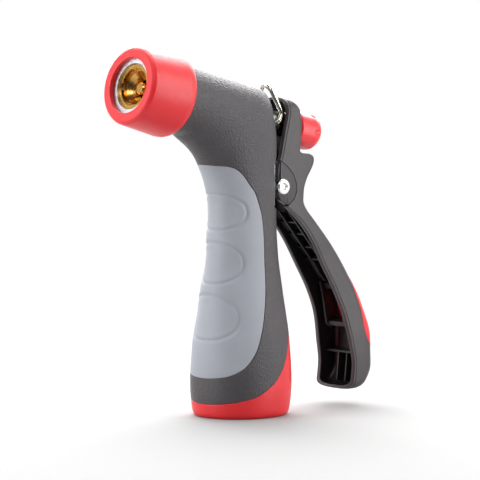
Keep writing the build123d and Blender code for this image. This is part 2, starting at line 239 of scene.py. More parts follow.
def turned(profile, origin, axis, up, segments=128, closed=True, shape=None):
    """Points and faces of a profile of (s, r) turned about an axis; shape changes r by angle."""
    side = np.cross(axis, up)
    angle = np.linspace(0, 2 * math.pi, segments, endpoint=False)
    around = np.cos(angle)[:, None] * up + np.sin(angle)[:, None] * side
    verts = []
    for s, r in profile:
        radius = shape(s, r, angle) if shape else np.full(segments, float(r))
        verts.append(origin + s * axis + radius[:, None] * around)
    return np.vstack(verts), grid_faces(len(profile), segments, closed, True)


def head_turned(name, profile, material, body, slot, replaces=(), sharp=None, **more):
    verts, faces = turned(profile, HEAD_START, HEAD_DIR, HEAD_UP, **more)
    return add_mesh(name, verts, faces, material, body, replaces, sharp)


def tube(path, radius, sides=20, dome=True):
    """A round tube along a path with domed ends."""
    p = np.asarray(path, float)
    tangent = np.gradient(p, axis=0)
    tangent /= np.linalg.norm(tangent, axis=1)[:, None]
    normal = np.cross(tangent[0], (0.3, 0.5, 0.8))
    normal /= np.linalg.norm(normal)
    angle = np.linspace(0, 2 * math.pi, sides, endpoint=False)
    rings = []
    for i in range(len(p)):
        normal = normal - np.dot(normal, tangent[i]) * tangent[i]
        normal /= np.linalg.norm(normal)
        other = np.cross(tangent[i], normal)
        circle = np.cos(angle)[:, None] * normal + np.sin(angle)[:, None] * other
        if i == 0 and dome:
            for k in (0.0, 0.3, 0.6, 0.85):
                rings.append(p[0] - tangent[0] * radius * 0.6 * math.sqrt(1 - k * k)
                             + circle * radius * max(k, 0.02))
        rings.append(p[i] + circle * radius)
        if i == len(p) - 1 and dome:
            for k in (0.85, 0.6, 0.3, 0.0):
                rings.append(p[i] + tangent[i] * radius * 0.6 * math.sqrt(1 - k * k)
                             + circle * radius * max(k, 0.02))
    faces = grid_faces(len(rings), sides, False, True)
    faces.append(list(range(sides))[::-1])
    faces.append([(len(rings) - 1) * sides + j for j in range(sides)])
    return np.vstack(rings), faces


# --- a patch of a smooth surface, cut to a boundary, with rounded edges --------------------------

class Surface:
    """A surface over two parameters, with its slopes and outward normal."""

    def __init__(self, point, out_hint):
        self.point = point
        self.out_hint = out_hint

    def slopes(self, q):
        h = 0.02
        du = (self.point(q + (h, 0)) - self.point(q - (h, 0))) / (2 * h)
        dv = (self.point(q + (0, h)) - self.point(q - (0, h))) / (2 * h)
        return du, dv

    def normal(self, q):
        du, dv = self.slopes(q)
        n = np.cross(du, dv)
        n /= np.maximum(np.linalg.norm(n, axis=1), 1e-12)[:, None]
        flip = np.sign((n * self.out_hint(self.point(q))).sum(1))
        return n * np.where(flip == 0, 1, flip)[:, None]

    def step(self, q, direction):
        """Parameters of the point reached by a small move along direction."""
        du, dv = self.slopes(q)
        a = (du * du).sum(1)
        b = (du * dv).sum(1)
        c = (dv * dv).sum(1)
        e = (du * direction).sum(1)
        f = (dv * direction).sum(1)
        det = a * c - b * b
        return q + np.stack([(c * e - b * f) / det, (a * f - b * e) / det], axis=1)


def inside(points, loop):
    """Which points lie inside a closed loop."""
    x, y = points[:, 0], points[:, 1]
    result = np.zeros(len(points), bool)
    a = loop
    b = np.roll(loop, -1, axis=0)
    for (x1, y1), (x2, y2) in zip(a, b):
        if y1 == y2:
            continue
        crosses = (y1 > y) != (y2 > y)
        result ^= crosses & (x < (x2 - x1) * (y - y1) / (y2 - y1) + x1)
    return result


def nearest(points, line):
    """Distance from each point to the nearest of a line's points."""
    best = np.full(len(points), 1e9)
    for start in range(0, len(line), 64):
        gap = points[:, None, :] - line[None, start:start + 64, :]
        best = np.minimum(best, np.sqrt((gap ** 2).sum(2)).min(1))
    return best


QUARTER_TURN = np.radians((90, 67.5, 45, 22.5, 0))


def patch(surface, chains, spacing, edge_r=0.3, extra_lines=(), relief=None, skirt=1.4):
    """Half a piece: a patch whose loop is made of chains of (kind, parameters, target).

    kind is "edge", with a rounded edge and a skirt, or "seam", on the plane of symmetry.
    """
    rows_x = [edge_r * (1 - math.sin(a)) for a in QUARTER_TURN] + [edge_r * 1.9]
    rows_drop = [edge_r * (1 - math.cos(a)) for a in QUARTER_TURN] + [0.0]
    loop = np.vstack([c[1][:-1] for c in chains])
    area = np.sum(loop[:, 0] * np.roll(loop[:, 1], -1) - np.roll(loop[:, 0], -1) * loop[:, 1])
    turn = 1.0 if area > 0 else -1.0
    params, drops, skirts = [], [], []
    for kind, q, target in chains:
        if kind != "edge":
            continue
        real = surface.point(q)
        tangent = np.gradient(real, axis=0)
        tangent /= np.linalg.norm(tangent, axis=1)[:, None]
        # the inward direction, taken from the turn of the loop in the parameters
        dq = np.gradient(q, axis=0)
        inward_q = np.stack([-dq[:, 1], dq[:, 0]], axis=1) * turn
        du, dv = surface.slopes(q)
        hint = du * inward_q[:, :1] + dv * inward_q[:, 1:]
        normal = surface.normal(q)
        across = np.cross(normal, tangent)
        across *= np.sign((across * hint).sum(1))[:, None]
        for end in (0, -1):
            if abs(real[end, 0]) < 1e-6:
                across[end] = across[end] * (0, 1, 1)
                across[end] /= np.linalg.norm(across[end])
        for x, drop in zip(rows_x, rows_drop):
            moved = surface.step(q, across * x) if x > 0 else q.copy()
            for end in (0, -1):
                if abs(real[end, 0]) < 1e-6:
                    moved[end, 1] = q[end, 1]
            params.append(moved)
            drops.append(np.full(len(q), drop))
        edge_points = real - normal * rows_drop[0]
        if target is None:
            low = real - normal * skirt + across * 0.05
        else:
            low = target(real, normal, across)
        skirts.append((edge_points, low))
    for line in extra_lines:
        params.append(line)
        drops.append(np.zeros(len(line)))
    rows = np.vstack(params)
    row_drop = np.concatenate(drops)
    row_real = surface.point(rows)
    # points along the seams
    seam_points = []
    for kind, q, target in chains:
        if kind == "seam":
            inner = q[1:-1]
            far = nearest(surface.point(inner), row_real) > spacing * 0.45
            seam_points.append(inner[far])
    # the filling
    lo, hi = loop.min(0), loop.max(0)
    mid = (lo + hi) / 2
    du, dv = surface.slopes(np.array([mid]))
    su = spacing / np.linalg.norm(du[0])
    sv = spacing / np.linalg.norm(dv[0])
    us = np.arange(lo[0], hi[0], su * 0.866)
    vs = np.arange(lo[1], hi[1] + sv, sv)
    uu, vv = np.meshgrid(us, vs, indexing="ij")
    vv = vv + (np.arange(len(us)) % 2)[:, None] * sv / 2
    fill = np.stack([uu.ravel(), vv.ravel()], axis=1)
    fill = fill[inside(fill, loop)]
    taken = np.vstack([row_real] + [surface.point(s) for s in seam_points if len(s)])
    real = surface.point(fill)
    clear = np.ones(len(fill), bool)
    for start in range(0, len(fill), 4000):
        chunk = real[start:start + 4000]
        clear[start:start + 4000] = nearest(chunk, taken) > spacing * 0.55
    fill = fill[clear]
    everything = np.vstack([rows] + seam_points + [fill])
    all_drop = np.concatenate([row_drop, np.zeros(len(everything) - len(rows))])
    # the loop runs through the outermost row of each edge and the seam points
    index = {}
    for i, p in enumerate(np.round(everything, 7).tolist()):
        index.setdefault(tuple(p), i)
    boundary = []
    for kind, q, target in chains:
        if kind == "edge":
            pts = q
        else:
            span = q[-1] - q[0]
            rel = everything - q[0]
            along = rel @ span / (span @ span)
            off = np.abs(rel[:, 0] * span[1] - rel[:, 1] * span[0]) / np.linalg.norm(span)
            keep = (off < 1e-6) & (along > -1e-9) & (along < 1 + 1e-9)
            pts = everything[keep][np.argsort(along[keep])]
        for p in pts:
            i = index[tuple(np.round(p, 7).tolist())]
            if not boundary or boundary[-1] != i:
                boundary.append(i)
    if boundary[0] == boundary[-1]:
        boundary.pop()
    result = delaunay_2d_cdt([tuple(c) for c in everything.tolist()], [], [boundary], 1, 1e-7)
    out_q = np.array([tuple(v) for v in result[0]])
    faces = [list(f) for f in result[2]]
    origin = [o[0] if len(o) else 0 for o in result[3]]
    drop = all_drop[origin]
    normal = surface.normal(out_q)
    verts = surface.point(out_q)
    if relief is not None:
        drop = drop + relief(out_q, verts)
    verts = verts - normal * drop[:, None]
    on_plane = np.abs(surface.point(out_q)[:, 0]) < 1e-6
    verts[on_plane, 0] = 0.0
    return verts, faces, skirts


def mirrored_piece(name, part, material, body, replaces=(), sharp=None, middle_steps=3):
    """A patch with its skirts, and the mirror image, as one piece."""
    verts, faces, skirts = part
    all_verts = [verts]
    all_faces = [list(f) for f in faces]
    count = len(verts)
    for top, low in skirts:
        n = len(top)
        rows = [top + (low - top) * k / middle_steps for k in range(middle_steps + 1)]
        all_verts += rows
        all_faces += grid_faces(middle_steps + 1, n, first=count)
        count += n * (middle_steps + 1)
    half = np.vstack(all_verts)
    flipped = half * (-1, 1, 1)
    both = np.vstack([half, flipped])
    faces2 = [[i + len(half) for i in reversed(f)] for f in all_faces]
    return add_mesh(name, both, all_faces + faces2, material, body, replaces, sharp)


# --- the body's surface ----------------------------------------------------------------------------

ARC = 15.0  # millimetres of the second parameter to a radian round the body


def body_spans():
    fronts = np.array([s[0] for s in BODY_STATIONS])
    rears = np.array([s[1] for s in BODY_STATIONS])
    middles = (fronts + rears) / 2
    length = np.r_[0, np.cumsum(np.linalg.norm(np.diff(middles, axis=0), axis=1)
                                + 0.5 * np.linalg.norm(np.diff(rears, axis=0), axis=1))]
    values = np.column_stack([fronts, rears, [s[2] for s in BODY_STATIONS],
                              [s[3] for s in BODY_STATIONS]])
    return length, Smooth(length, values)


BODY_LENGTHS, BODY_ROWS = body_spans()
BODY_END = BODY_LENGTHS[-1]


def signed_power(x, p):
    return np.sign(x) * np.abs(x) ** p


def body_point(q):
    """Surface points from (length up the body, angle from the front times ARC)."""
    row = BODY_ROWS(q[:, 0])
    middle = (row[:, 0:2] + row[:, 2:4]) / 2
    run = (row[:, 2:4] - row[:, 0:2]) / 2
    angle = q[:, 1] / ARC
    power = 2 / row[:, 5]
    yz = middle - run * signed_power(np.cos(angle), power)[:, None]
    x = row[:, 4] * signed_power(np.where(np.abs(np.sin(angle)) < 1e-9, 0, np.sin(angle)), power)
    return np.column_stack([x, yz])


def body_out(p):
    """A rough outward direction at surface points."""
    low = np.array((0.0, 0.6, 0.0))
    out = p - low
    out[:, 2] = 0
    rel = p - (HEAD_START + 26 * HEAD_DIR)
    head = rel - (rel @ HEAD_DIR)[:, None] * HEAD_DIR
    reach = np.clip((-12 - p[:, 1]) / 10, 0, 1)[:, None]
    return out * (1 - reach) + head * reach + np.array((0, 0, 1e-3))


def section_line_side(t, y, z):
    row = BODY_ROWS(t)
    middle = (row[:, 0:2] + row[:, 2:4]) / 2
    run = (row[:, 2:4] - row[:, 0:2]) / 2
    return run[:, 0] * (z - middle[:, 1]) - run[:, 1] * (y - middle[:, 0]), middle, run, row[:, 5]


def from_side(points):
    """Parameters of surface points given by Y and Z in the side view."""
    pts = np.asarray(points, float)
    y, z = pts[:, 0], pts[:, 1]
    lo, hi = np.zeros(len(pts)), np.full(len(pts), BODY_END)
    for _ in range(50):
        t = (lo + hi) / 2
        side = section_line_side(t, y, z)[0]
        lo = np.where(side > 0, t, lo)
        hi = np.where(side > 0, hi, t)
    _, middle, run, power = section_line_side(t, y, z)
    k = np.clip(((pts - middle) * run).sum(1) / (run ** 2).sum(1), -1, 1)
    return np.column_stack([t, ARC * np.arccos(-signed_power(k, power / 2))])


def from_rear(points):
    """Parameters of points on the body's back given by X and Z."""
    out = []
    for x, z in points:
        lo, hi = 40.0, BODY_END - 5
        for _ in range(50):
            t = (lo + hi) / 2
            row = BODY_ROWS(np.array([t]))[0]
            angle = math.pi - math.asin(min(1, x / row[4]) ** (row[5] / 2))
            here = body_point(np.array([[t, ARC * angle]]))[0, 2]
            if here < z:
                lo = t
            else:
                hi = t
        out.append((t, ARC * angle))
    return np.array(out)


def front_at(z):
    """Parameters of the front line's point at a height."""
    ts = np.linspace(0, BODY_END, 4000)
    heights = BODY_ROWS(ts)[:, 1]
    return float(np.interp(z, heights[:3200], ts[:3200]))


def rear_at(z):
    ts = np.linspace(0, BODY_END, 4000)
    heights = BODY_ROWS(ts)[:, 3]
    top = int(np.argmax(heights))
    return float(np.interp(z, heights[:top], ts[:top]))


# --- materials -----------------------------------------------------------------------------------

def node_material(name, colour, roughness, metallic=0.0, second=None, mottle=3.0, mottle_mix=0.5,
                  rough_range=0.08, rough_size=2.0, bumps=(), specular=0.5, coat=0.0,
                  coat_rough=0.2, anisotropic=0.0, sheen=0.0, edge=None):
    """A procedural material. Sizes are in millimetres; bumps are (kind, size, height, detail)."""
    material = bpy.data.materials.new(name)
    material.use_nodes = True
    nodes, links = material.node_tree.nodes, material.node_tree.links
    shader = nodes["Principled BSDF"]
    shader.inputs["Metallic"].default_value = metallic
    shader.inputs["Specular IOR Level"].default_value = specular
    shader.inputs["Coat Weight"].default_value = coat
    shader.inputs["Coat Roughness"].default_value = coat_rough
    shader.inputs["Anisotropic"].default_value = anisotropic
    shader.inputs["Sheen Weight"].default_value = sheen
    place = nodes.new("ShaderNodeTexCoord")

    def noise(size, detail=3.0, rough=0.5):
        node = nodes.new("ShaderNodeTexNoise")
        node.inputs["Scale"].default_value = 1 / (size * MM)
        node.inputs["Detail"].default_value = detail
        node.inputs["Roughness"].default_value = rough
        links.new(place.outputs["Object"], node.inputs["Vector"])
        return node.outputs["Fac"]

    def cells(size):
        node = nodes.new("ShaderNodeTexVoronoi")
        node.feature = "SMOOTH_F1"
        node.inputs["Scale"].default_value = 1 / (size * MM)
        node.inputs["Smoothness"].default_value = 0.6
        links.new(place.outputs["Object"], node.inputs["Vector"])
        return node.outputs["Distance"]

    def spread(source, low, high, to_low, to_high):
        node = nodes.new("ShaderNodeMapRange")
        node.inputs["From Min"].default_value = low
        node.inputs["From Max"].default_value = high
        node.inputs["To Min"].default_value = to_low
        node.inputs["To Max"].default_value = to_high
        links.new(source, node.inputs["Value"])
        return node.outputs["Result"]

    second = second or tuple(0.82 * c for c in colour)
    mix = nodes.new("ShaderNodeMix")
    mix.data_type = "RGBA"
    mix.inputs["A"].default_value = (*colour, 1)
    mix.inputs["B"].default_value = (*second, 1)
    links.new(spread(noise(mottle), 0.35, 0.65, 0.0, mottle_mix), mix.inputs["Factor"])
    tint = mix.outputs["Result"]
    if edge:
        worn = nodes.new("ShaderNodeMix")
        worn.data_type = "RGBA"
        geometry = nodes.new("ShaderNodeNewGeometry")
        worn.inputs["B"].default_value = (*edge, 1)
        links.new(spread(geometry.outputs["Pointiness"], 0.52, 0.6, 0.0, 0.5), worn.inputs["Factor"])
        links.new(tint, worn.inputs["A"])
        tint = worn.outputs["Result"]
    links.new(tint, shader.inputs["Base Color"])
    links.new(spread(noise(rough_size, 4.0), 0.3, 0.7, roughness - rough_range,
                     roughness + rough_range), shader.inputs["Roughness"])
    previous = None
    for kind, size, height, detail in bumps:
        node = nodes.new("ShaderNodeBump")
        node.inputs["Distance"].default_value = height * MM
        node.inputs["Strength"].default_value = 1.0
        source = cells(size) if kind == "cells" else noise(size, detail, 0.55)
        links.new(source, node.inputs["Height"])
        if previous:
            links.new(previous, node.inputs["Normal"])
        previous = node.outputs["Normal"]
    if previous:
        links.new(previous, shader.inputs["Normal"])
    return material


COVER = node_material("charcoal_grip_rubber", (0.056, 0.05, 0.055), 0.48, second=(0.044, 0.039, 0.043),
                      mottle=9.0, rough_range=0.05,
                      bumps=(("cells", 0.75, 0.2, 2), ("noise", 0.35, 0.06, 3)), specular=0.38, sheen=0.06)
PAD = node_material("grey_pad_rubber", (0.30, 0.315, 0.35), 0.6, second=(0.27, 0.285, 0.318), mottle=12.0,
                    rough_range=0.05, bumps=(("noise", 0.5, 0.03, 3),), specular=0.35, sheen=0.1)
RED_RUBBER = node_material("red_rubber", (0.70, 0.014, 0.02), 0.42, second=(0.62, 0.01, 0.016),
                           mottle=10.0, rough_range=0.05,
                           bumps=(("noise", 0.6, 0.035, 3), ("noise", 0.2, 0.01, 2)), specular=0.5)
RED_PLASTIC = node_material("red_plastic", (0.78, 0.02, 0.028), 0.34, second=(0.7, 0.016, 0.022),
                            mottle=8.0, rough_range=0.04, bumps=(("noise", 0.8, 0.012, 2),),
                            specular=0.5, coat=0.15, coat_rough=0.3)
LEVER = node_material("charcoal_lever_plastic", (0.052, 0.045, 0.049), 0.42, second=(0.044, 0.038, 0.041),
                      mottle=11.0, rough_range=0.05, bumps=(("noise", 0.3, 0.012, 3),), specular=0.36)
# The lever's inside is the same charcoal plastic, painted near black: painted shade for the dark hollow of
# the lever.
LEVER_INSIDE_PAINTED_SHADE = node_material("charcoal_lever_inside_painted_shade", (0.008, 0.007, 0.008), 0.42, mottle=7.0,
                             rough_range=0.06, bumps=(("noise", 0.8, 0.01, 2),), specular=0.4)
CAST = node_material("cast_metal", (0.62, 0.655, 0.69), 0.36, metallic=1.0, second=(0.5, 0.53, 0.57),
                     mottle=1.6, rough_range=0.1, rough_size=0.8,
                     bumps=(("noise", 0.7, 0.035, 4),))
BRASS = node_material("turned_brass", (0.70, 0.42, 0.12), 0.22, metallic=1.0, second=(0.58, 0.32, 0.08),
                      mottle=1.2, rough_range=0.07, rough_size=0.5, bumps=(("noise", 0.35, 0.006, 3),))
STEEL = node_material("drawn_steel", (0.6, 0.6, 0.6), 0.28, metallic=1.0, mottle=0.8, rough_range=0.08,
                      bumps=(("noise", 0.25, 0.005, 3),))
RIVET = node_material("plated_rivet", (0.86, 0.86, 0.84), 0.3, metallic=1.0, second=(0.7, 0.69, 0.66),
                      mottle=0.9, rough_range=0.1, rough_size=0.4, bumps=(("noise", 0.35, 0.02, 3),))
WIRE = node_material("nickel_wire", (0.8, 0.77, 0.7), 0.24, metallic=1.0, second=(0.66, 0.62, 0.54),
                     mottle=2.5, rough_range=0.04, bumps=(("noise", 0.8, 0.003, 2),))
SEAL = node_material("black_seal", (0.02, 0.02, 0.02), 0.5, mottle=0.8, bumps=(("noise", 0.4, 0.01, 2),))

CAD_LOOKS = {
    "body_casting": CAST, "orifice_insert": BRASS, "insert_seal": SEAL, "packing_seal": SEAL,
    "gland_washer": BRASS, "packing_nut": BRASS, "hose_washer": SEAL, "inlet_screen": STEEL,
    "valve_stem": BRASS, "valve_washer": SEAL, "stem_seal": SEAL,
    "knob_insert": BRASS,
}
for node, look in CAD_LOOKS.items():
    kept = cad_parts[node]
    if not kept.material_slots:
        kept.data.materials.append(look)
    for place in kept.material_slots:
        place.material = look


SPRING_FRONT, SPRING_REAR, SPRING_R, SPRING_WIRE, SPRING_TURNS = 23.6, 66.6, 4.3, 0.5, 11


def build_spring():
    """The return spring: a coil of wire held with the body, its rear end in the casting."""
    share = np.linspace(0, 1, SPRING_TURNS * 32 + 1)
    # the end turns lie closer together than the working ones
    along = SPRING_FRONT + (SPRING_REAR - SPRING_FRONT) * (share - 0.035 * np.sin(2 * math.pi * share))
    angle = 2 * math.pi * SPRING_TURNS * share
    path = [(SPRING_R * math.cos(a), *on_head(s, SPRING_R * math.sin(a)))
            for s, a in zip(along, angle)]
    verts, faces = tube(path, SPRING_WIRE, 12)
    spring = add_mesh("return_spring_wire", verts, faces, STEEL, "body", ("return_spring",))
    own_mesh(spring)


build_spring()


# --- cover, finger pad and boot ------------------------------------------------------------------

BODY = Surface(body_point, body_out)
BACK = ARC * math.pi
EDGE_STEP = 0.35

PAD_EDGE = (
    (-16.0, 104.4), (-12.7, 103.7), (-9.2, 101.6), (-5.0, 96.6), (-2.5, 93.6), (-0.9, 90.2),
    (1.4, 83.9), (2.4, 75.6), (2.3, 65.3), (1.7, 57.1), (0.5, 49.0), (-1.0, 42.9),
    (-2.9, 36.9), (-6.1, 28.9), (-8.9, 24.5), (-11.8, 21.3), (-15.3, 18.9), (-18.1, 17.6),
)
BOOT_EDGE = (
    (-17.5, 6.6), (-14.3, 7.3), (-7.2, 9.2), (-0.5, 12.8), (5.2, 17.5), (9.8, 23.0), (12.9, 28.6),
    (16.5, 33.8),
)


def across_front(params):
    """A curve from seam to seam in the parameters, square to the seams it meets."""
    first = (params[1][0], 2 * params[0][1] - params[1][1])
    last = (params[-2][0], 2 * params[-1][1] - params[-2][1])
    return even(curve_through(params, ends=(first, last)), EDGE_STEP, measure=body_point)


def pad_line():
    middle = from_side(PAD_EDGE)
    return across_front([(front_at(104.8), 0.0), *middle, (front_at(16.7), 0.0)])


def boot_line():
    middle = from_side(BOOT_EDGE)
    return across_front([(front_at(5.9), 0.0), *middle, (rear_at(37.4), BACK)])


def opening_line():
    """The edge of the opening behind the head, from its foot at the back to its top."""
    low = from_side([(15.2, 86.0), (12.6, 86.0), (11.2, 86.2), (10.5, 87.0), (10.4, 88.5), (10.4, 93.0),
                     (10.4, 98.0), (10.4, 102.5), (10.9, 105.2)])
    arc = [(2.4 + 6 * math.cos(a), 124.5 + 6 * math.sin(a)) for a in np.radians((0, 22.5, 45, 67.5, 90))]
    high = from_rear([(8.4, 108.5), (8.4, 112.0), (8.4, 118.0)] + arc)
    return across_front([(rear_at(86.0), BACK), *low, *high, (rear_at(130.5), BACK)])


def seam(angle, start, end, step=0.7):
    count = max(2, int(abs(end - start) / step))
    return np.column_stack([np.linspace(start, end, count + 1), np.full(count + 1, angle)])


def opening_wall(real, normal, across):
    """The opening's side walls run straight in to the cast face."""
    low = real - normal * 2.4
    side = np.clip((real[:, 2] - 104) / 4, 0, 1)[:, None]
    straight = real * (1, 0, 1) + (0, 10.45, 0)
    return low * (1 - side) + straight * side


# each finger dent: height of its middle, half its height, and how far round it reaches in degrees
FINGER_DENTS = ((85.15, 7.45, 66.0), (64.15, 8.45, 60.0), (41.75, 9.25, 52.0))


GROOVE_DEPTH, GROOVE_HALF_WIDTH = 0.6, 0.6
DISH_DEPTH, DISH_RISE = 0.3, 3.5
DENT_POWER, GRIP_RADIUS = 2.25, 13.5


def dent_gap(verts, angle, dent):
    """Distance outside a finger dent's outline, in millimetres, negative inside."""
    height, half, reach = dent
    up = (verts[:, 2] - height) / half
    round_ = angle / math.radians(reach)
    radius = (np.abs(up) ** DENT_POWER + np.abs(round_) ** DENT_POWER) ** (1 / DENT_POWER)
    wide = math.radians(reach) * GRIP_RADIUS
    slope = np.sqrt((up / half) ** 2 + (round_ / wide) ** 2) / np.maximum(radius, 1e-6)
    return (radius - 1) / np.maximum(slope, 1e-3)


def pad_relief(q, verts):
    """Three finger dents: a shallow groove round each, and a slight dish within."""
    depth = np.zeros(len(q))
    for dent in FINGER_DENTS:
        gap = dent_gap(verts, q[:, 1] / ARC, dent)
        groove = GROOVE_DEPTH * np.exp(-(gap / GROOVE_HALF_WIDTH) ** 2)
        rise = np.clip(-gap / DISH_RISE, 0, 1)
        dish = DISH_DEPTH * rise ** 2 * (3 - 2 * rise)
        step = 0.12 / (1 + np.exp(np.clip(gap / 0.3, -30, 30)))
        depth += groove + dish + step
    return depth


def dent_lines():
    """Points that follow the groove round each dent, so that it stays crisp."""
    lines = []
    for height, half, reach in FINGER_DENTS:
        for grow in (-0.9, -0.45, 0.0, 0.45, 0.9):
            angle = np.linspace(-math.pi / 2, math.pi / 2, 90)[1:-1]
            power = 2 / DENT_POWER
            side = np.abs(np.cos(angle)) ** power * (math.radians(reach) + grow / GRIP_RADIUS)
            up = np.sign(np.sin(angle)) * np.abs(np.sin(angle)) ** power * (half + grow)
            ts = [front_t(height + u) for u in up]
            lines.append(np.column_stack([ts, ARC * side]))
    return lines


def front_t(z):
    """Length up the body at a height on the straight part of the grip."""
    ts = np.linspace(0, BODY_LENGTHS[9], 600)
    return float(np.interp(z, BODY_ROWS(ts)[:, 1], ts))


def build_body():
    pad = pad_line()
    boot = boot_line()
    opening = opening_line()
    pad_top, pad_low = pad[0, 0], pad[-1, 0]
    boot_front, boot_back = boot[0, 0], boot[-1, 0]
    low, high = opening[0, 0], opening[-1, 0]
    head = np.column_stack([np.full(140, BODY_END), np.linspace(0, BACK, 140)])
    cover = [
        ("edge", head, None),
        ("seam", seam(BACK, BODY_END, high), None),
        ("edge", opening[::-1], opening_wall),
        ("seam", seam(BACK, low, boot_back), None),
        ("edge", boot[::-1], None),
        ("seam", seam(0.0, boot_front, pad_low), None),
        ("edge", pad[::-1], None),
        ("seam", seam(0.0, pad_top, BODY_END), None),
    ]
    mirrored_piece("grip_cover_skin", patch(BODY, cover, 0.95, 0.3), COVER, "body",
                   ("grip_cover",))
    grey = [("edge", pad, None), ("seam", seam(0.0, pad_low, pad_top), None)]
    mirrored_piece("finger_pad_skin", patch(BODY, grey, 0.6, 0.34, dent_lines(), pad_relief), PAD,
                   "body", ("finger_pad",))
    foot = np.column_stack([np.zeros(150), np.linspace(0, BACK, 150)])
    red = [
        ("edge", foot[::-1], lambda real, normal, across: real - normal * (2.6, 2.6, 0)),
        ("seam", seam(0.0, 0.0, boot_front), None),
        ("edge", boot, None),
        ("seam", seam(BACK, boot_back, 0.0), None),
    ]
    mirrored_piece("base_boot_skin", patch(BODY, red, 0.9, 0.3), RED_RUBBER, "body",
                   ("base_boot",))


build_body()



# --- bumper, rivet, knob and clip -----------------------------------------------------------------

def build_bumper():
    corners = [(0.35, 11.35), (0.0, 11.75), (0.0, 14.6), (0.55, 15.5), (1.7, 16.1), (6.0, 16.45),
               (14.0, 17.0), (19.5, 17.4), (21.4, 17.2), (22.7, 16.3), (23.25, 15.2), (23.3, 14.5),
               (23.3, 13.4), (2.2, 13.4), (2.2, 11.35)]
    radii = [0.35, 0.5, 0.5, 1.2, 1.4, 4.0, 6.0, 1.6, 1.6, 1.4, 0.6, 0, 0, 0, 0.2]
    head_turned("front_bumper_ring", rounded(corners, radii, steps=5), RED_RUBBER, "body", "red_rubber",
                ("front_bumper",), segments=180)


PIVOT = np.array((0.0, 15.4, 95.1))


def build_rivet():
    end = [(9.95, 0.02), (9.9, 0.75), (10.15, 1.15), (10.62, 1.5), (10.78, 1.95), (10.74, 2.5),
           (10.5, 3.0), (10.15, 3.3), (9.85, 3.35), (9.8, 3.2), (9.8, 2.0)]
    end = rounded(end, [0, 0.2, 0.3, 0.3, 0.4, 0.5, 0.4, 0.3, 0.1, 0.05, 0], closed=False, steps=3).tolist()
    whole = end + [(-s, r) for s, r in reversed(end)]
    verts, faces = turned(whole, PIVOT, SIDE, np.array((0, 0, 1.0)), 64, closed=False)
    add_mesh("pivot_rivet_plated", verts, faces, RIVET, "trigger", ("pivot_rivet",))


FLUTE_COUNT, FLUTE_CENTRE, FLUTE_R, FLUTE_START = 6, 8.1, 1.1, 97.5


def knob_radius(s, r, angle):
    """The knob's radius with its round flutes, which start in a short ramp."""
    pitch = 2 * math.pi / FLUTE_COUNT
    off = (angle + 1e-9) % pitch - pitch / 2
    sideways = FLUTE_CENTRE * np.sin(off)
    under = np.maximum(FLUTE_R ** 2 - sideways ** 2, 0)
    floor = np.where(under > 0, FLUTE_CENTRE * np.cos(off) - np.sqrt(under), 99.0)
    floor = floor + 1.1 * np.clip((FLUTE_START + 0.5 - s) / 0.9, 0, 1) ** 1.5 + 50 * (s < FLUTE_START - 0.4)
    plain = np.full(len(angle), float(r))
    blend = 0.08
    gap = (floor - plain) / blend
    soft = np.where(gap < 30, -blend * np.log1p(np.exp(-np.clip(gap, -30, 30))), 0.0)
    return np.maximum(plain + soft, 0.01) if r > 0.5 else plain


def build_knob():
    profile = [(92.0, 2.9), (90.0, 2.9), (90.0, 7.15), (90.6, 7.7), (98.8, 7.7), (100.7, 7.3),
               (101.8, 6.5), (103.1, 4.9), (104.3, 2.9), (104.9, 1.2), (105.0, 0.02)]
    line = rounded(profile, [0, 0.2, 0.4, 0.5, 3, 2.5, 2.0, 3.0, 2.0, 1.5, 0], closed=False, steps=6)
    fine = even(line, 0.28)
    head_turned("adjusting_knob_fluted", fine, RED_PLASTIC, "knob", "red_plastic", ("adjusting_knob",),
                segments=216, closed=False, shape=knob_radius)


def build_clip():
    y, z = on_head(77.5, 0)
    half = [(3.75, y, z), (6.0, y, z), (6.0, 18.1, 125.4), (3.1, 14.4, 135.6), (0.9, 13.75, 137.2)]
    path = half + [(-a, b, c) for a, b, c in reversed(half)]
    radii = [0, 1.2, 1.4, 5.0, 0.95, 0.95, 5.0, 1.4, 1.2, 0]
    line = even(rounded(path, radii, closed=False, steps=8), 0.3)
    verts, faces = tube(line, 1.03, 24)
    add_mesh("hold_open_clip_wire", verts, faces, WIRE, "clip", ("hold_open_clip",))


build_bumper()
build_rivet()
build_knob()
build_clip()


# --- trigger lever --------------------------------------------------------------------------------

# front edge and back edge of the lever's side view, Y and Z, from its top to its foot
LEVER_ROWS = (
    (19.2, 132.3, 21.0, 132.5), (18.9, 131.0, 23.1, 131.3), (18.5, 128.5, 25.2, 128.8),
    (18.1, 125.0, 26.4, 124.6), (16.7, 119.0, 26.8, 119.2), (15.2, 112.5, 26.3, 112.9),
    (14.25, 108.4, 25.95, 109.5), (14.15, 108.0, 27.2, 108.75), (14.05, 107.7, 29.4, 108.6),
    (13.95, 107.4, 31.4, 108.4), (13.8, 107.0, 33.2, 107.6), (13.5, 106.0, 33.9, 106.0),
    (13.0, 104.6, 33.4, 103.9), (12.45, 102.6, 31.9, 101.3), (12.3, 98.0, 29.7, 97.8),
    (12.3, 93.5, 28.2, 93.3), (13.5, 89.3, 27.9, 88.8), (18.1, 86.0, 29.9, 84.8),
    (26.3, 78.7, 32.2, 82.5), (32.3, 71.4, 38.7, 75.6), (38.4, 61.3, 46.2, 67.4),
    (45.6, 49.5, 54.1, 57.0), (50.6, 38.3, 61.8, 44.4), (53.3, 26.6, 66.6, 29.4),
    (54.7, 17.9, 66.9, 17.2), (54.2, 12.0, 64.2, 10.6), (53.4, 8.6, 60.6, 7.2), (53.0, 7.0, 57.4, 5.9),
)
LEVER_WIDE = ((6.0, 11.6), (14.0, 11.7), (25.0, 11.5), (35.0, 10.6), (58.0, 9.4), (66.0, 9.4),
              (75.0, 9.8), (134.0, 9.8))
TOP_ARCH, FOOT_ARCH = (8.0, 2.2), (6.5, 3.0)
